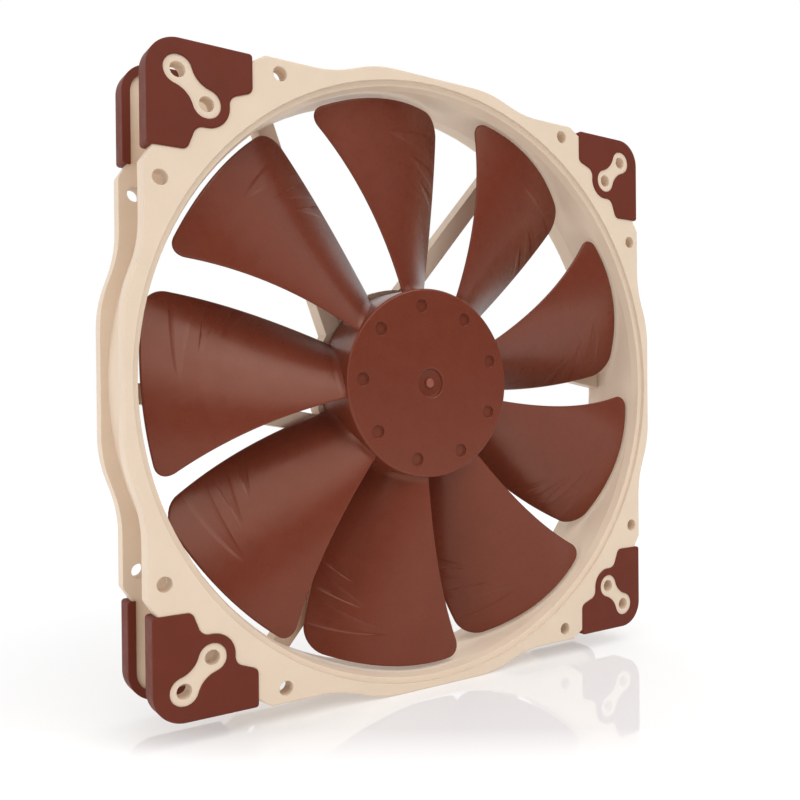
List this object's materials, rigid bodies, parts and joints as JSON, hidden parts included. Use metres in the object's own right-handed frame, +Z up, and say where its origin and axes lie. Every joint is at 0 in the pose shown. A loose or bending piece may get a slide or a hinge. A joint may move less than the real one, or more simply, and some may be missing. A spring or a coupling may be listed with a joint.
{
  "type": "case fan",
  "caption": "Large square-flanged axial case fan with a round duct, soft corner pads, a swept-blade impeller and a brushless hub motor.",
  "frame": {"origin": "on the rotor's axis, half way between the two flanges", "axes": "+Z up, +Y along the air flow from intake to outlet, +X to the right as seen from the intake"},
  "size_m": [0.2, 0.031, 0.2],
  "materials": {
    "frame_plastic": "satin moulded plastic, cream",
    "pad_silicone": "soft matte silicone, red brown",
    "impeller_plastic": "satin moulded plastic, red brown",
    "yoke_steel": "drawn steel",
    "magnet_ferrite": "dark bonded ferrite",
    "shaft_steel": "ground steel",
    "washer_plastic": "white nylon",
    "bearing_brass": "turned brass",
    "sleeve_bronze": "sintered bronze",
    "core_steel": "stacked electrical steel",
    "former_plastic": "white moulded plastic",
    "coil_copper": "enamelled copper wire",
    "contact_tin": "tinned",
    "board_laminate": "green solder mask",
    "chip_black": "moulded epoxy",
    "capacitor_can": "bare can",
    "label_film": "blank printed film"
  },
  "bodies": {
    "housing": {"fan_frame": "frame_plastic", "pad_front_top_right": "pad_silicone", "pad_front_bottom_right": "pad_silicone", "pad_front_bottom_left": "pad_silicone", "pad_front_top_left": "pad_silicone", "pad_rear_top_right": "pad_silicone", "pad_rear_bottom_right": "pad_silicone", "pad_rear_bottom_left": "pad_silicone", "pad_rear_top_left": "pad_silicone", "bearing_shell": "bearing_brass", "bearing_sleeve": "sleeve_bronze", "oil_seal": "washer_plastic", "thrust_pad": "washer_plastic", "axial_magnet": "magnet_ferrite", "stator_core": "core_steel", "insulator_front": "former_plastic", "insulator_rear": "former_plastic", "coil_windings": "coil_copper", "circuit_board": "board_laminate", "terminal_pins": "contact_tin", "hall_sensor": "chip_black", "driver_chip": "chip_black", "capacitor": "capacitor_can", "resistors": "chip_black", "solder_joints": "contact_tin", "rear_label": "label_film"},
    "rotor": {"impeller": "impeller_plastic", "rotor_yoke": "yoke_steel", "rotor_magnet": "magnet_ferrite", "shaft": "shaft_steel", "shaft_insert": "bearing_brass", "slinger_washer": "washer_plastic", "retaining_clip": "washer_plastic"}
  },
  "joints": [
    {"name": "rotor_spin", "type": "hinge", "parent": "housing", "child": "rotor", "pos_m": [0, 0, 0], "axis": [0, -1, 0], "continuous": true}
  ]
}
